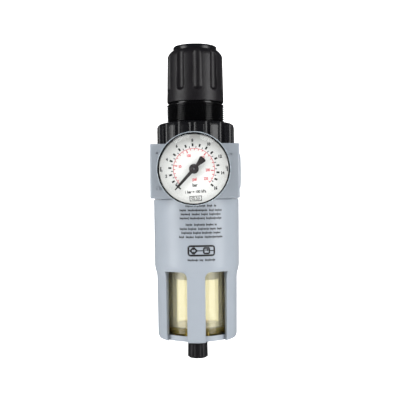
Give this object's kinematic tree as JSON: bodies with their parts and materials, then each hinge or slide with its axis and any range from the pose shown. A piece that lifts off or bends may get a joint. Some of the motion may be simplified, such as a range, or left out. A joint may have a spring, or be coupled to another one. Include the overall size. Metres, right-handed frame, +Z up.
{
  "type": "compressed-air filter-regulator with gauge",
  "caption": "Compressed-air filter-regulator: square ported body, adjusting knob with panel nut, dial gauge, clear bowl in a slotted guard and manual drain.",
  "frame": {"origin": "where the axis through both pipe ports crosses the vertical axis of knob and bowl", "axes": "+X from the inlet port to the outlet port, +Z up to the knob, -Y out through the gauge"},
  "size_m": [0.066, 0.0906, 0.2299],
  "materials": {
    "grey_plastic": "fine satin moulding",
    "black_plastic": "satin moulding",
    "gloss_black": "gloss",
    "bowl_plastic": "transparent, slightly yellow",
    "clear_plastic": "transparent",
    "white_plastic": "satin moulding",
    "porous_plastic": "sintered, matt",
    "brass": "turned",
    "steel": "zinc plated",
    "spring_steel": "drawn wire",
    "rubber": "matt",
    "dial_white": "matt print",
    "pointer_black": "matt black"
  },
  "bodies": {
    "housing": {"body_block": "grey_plastic", "inlet_insert": "brass", "outlet_insert": "brass", "rear_plug": "brass", "bonnet": "gloss_black", "thrust_washer": "white_plastic", "main_spring": "spring_steel", "diaphragm": "rubber", "valve_seat": "brass", "valve_spring": "spring_steel", "valve_guide": "brass", "filter_deflector": "white_plastic", "filter_element": "porous_plastic", "filter_baffle": "white_plastic", "filter_stud": "brass", "filter_nut": "brass", "gauge_socket": "brass", "gauge_washer": "rubber", "gauge_case": "gloss_black", "gauge_window": "clear_plastic", "gauge_dial": "dial_white", "bourdon_tube": "brass", "movement_rear_plate": "brass", "movement_front_plate": "brass", "movement_spacer_1": "brass", "movement_spacer_2": "brass", "hairspring": "spring_steel"},
    "screw": {"adjusting_screw": "steel"},
    "knob": {"adjusting_knob": "black_plastic", "knob_cap": "black_plastic"},
    "spring_nut": {"spring_nut": "brass"},
    "diaphragm_core": {"diaphragm_plate": "steel", "relief_seat": "brass", "diaphragm_nut": "steel"},
    "valve": {"valve_stem": "brass", "valve_seal": "rubber"},
    "panel_nut": {"panel_nut": "black_plastic"},
    "bowl": {"bowl": "bowl_plastic", "bowl_o_ring": "rubber", "drain_body": "brass", "drain_gasket": "rubber", "drain_nut": "brass"},
    "guard": {"bowl_guard": "grey_plastic"},
    "drain_knob": {"drain_knob": "black_plastic"},
    "drain_stem": {"drain_stem": "steel", "drain_seal": "rubber"},
    "sector": {"sector_gear": "brass"},
    "pointer": {"pinion_arbor": "steel", "gauge_pointer": "pointer_black"},
    "link": {"movement_link": "brass"},
    "tube_tip": {"bourdon_tip": "brass"}
  },
  "joints": [
    {"name": "knob_turn", "type": "hinge", "parent": "housing", "child": "screw", "pos_m": [0, 0, 0.07], "axis": [0, 0, -1], "range_deg": [0, 2160]},
    {"name": "knob_lock", "type": "slide", "parent": "screw", "child": "knob", "axis": [0, 0, 1], "range_m": [0, 0.003]},
    {"name": "spring_nut_travel", "type": "slide", "parent": "housing", "child": "spring_nut", "axis": [0, 0, -1], "range_m": [0, 0.012], "deforming": ["main_spring"]},
    {"name": "diaphragm_stroke", "type": "slide", "parent": "housing", "child": "diaphragm_core", "axis": [0, 0, -1], "range_m": [0, 0.0008], "stiffness_N_per_m": 1500, "springref_m": -0.002, "deforming": ["diaphragm"]},
    {"name": "valve_stroke", "type": "slide", "parent": "housing", "child": "valve", "axis": [0, 0, -1], "range_m": [0, 0.0008], "deforming": ["valve_spring"]},
    {"name": "panel_nut_turn", "type": "hinge", "parent": "housing", "child": "panel_nut", "pos_m": [0, 0, 0.027], "axis": [0, 0, 1], "range_deg": [0, 2880]},
    {"name": "bowl_drop", "type": "slide", "parent": "housing", "child": "bowl", "axis": [0, 0, -1], "range_m": [0, 0.012]},
    {"name": "guard_unscrew", "type": "hinge", "parent": "bowl", "child": "guard", "pos_m": [0, 0, -0.07], "axis": [0, 0, -1], "range_deg": [0, 2160]},
    {"name": "drain_turn", "type": "hinge", "parent": "bowl", "child": "drain_knob", "pos_m": [0, 0, -0.13], "axis": [0, 0, -1], "range_deg": [0, 540]},
    {"name": "drain_lift", "type": "slide", "parent": "bowl", "child": "drain_stem", "axis": [0, 0, 1], "range_m": [0, 0.0015]},
    {"name": "sector_swing", "type": "hinge", "parent": "housing", "child": "sector", "pos_m": [-0.00625, -0.04305, -0.01083], "axis": [0, -1, 0], "range_deg": [0, 30], "stiffness_Nm_per_rad": 0.002, "springref_deg": -17.19},
    {"name": "pointer_sweep", "type": "hinge", "parent": "housing", "child": "pointer", "pos_m": [0, -0.04625, 0], "axis": [0, 1, 0], "range_deg": [0, 270], "deforming": ["hairspring"]},
    {"name": "link_swing", "type": "hinge", "parent": "sector", "child": "link", "pos_m": [-0.0077, -0.044, -0.00542], "axis": [0, 1, 0], "range_deg": [0, 30]},
    {"name": "tube_tip_travel", "type": "slide", "parent": "housing", "child": "tube_tip", "axis": [-0.866, 0, -0.5], "range_m": [0, 0.0029], "deforming": ["bourdon_tube"]}
  ],
  "couplings": [
    {"joint": "spring_nut_travel", "follows": "knob_turn", "m_per_rad": 0.0003183},
    {"joint": "valve_stroke", "follows": "diaphragm_stroke", "ratio": 1},
    {"joint": "bowl_drop", "follows": "guard_unscrew", "m_per_rad": 0.0003183},
    {"joint": "drain_lift", "follows": "drain_turn", "m_per_rad": 0.0001592},
    {"joint": "pointer_sweep", "follows": "sector_swing", "ratio": 9},
    {"joint": "link_swing", "follows": "sector_swing", "ratio": 1},
    {"joint": "tube_tip_travel", "follows": "sector_swing", "m_per_rad": 0.005536}
  ]
}
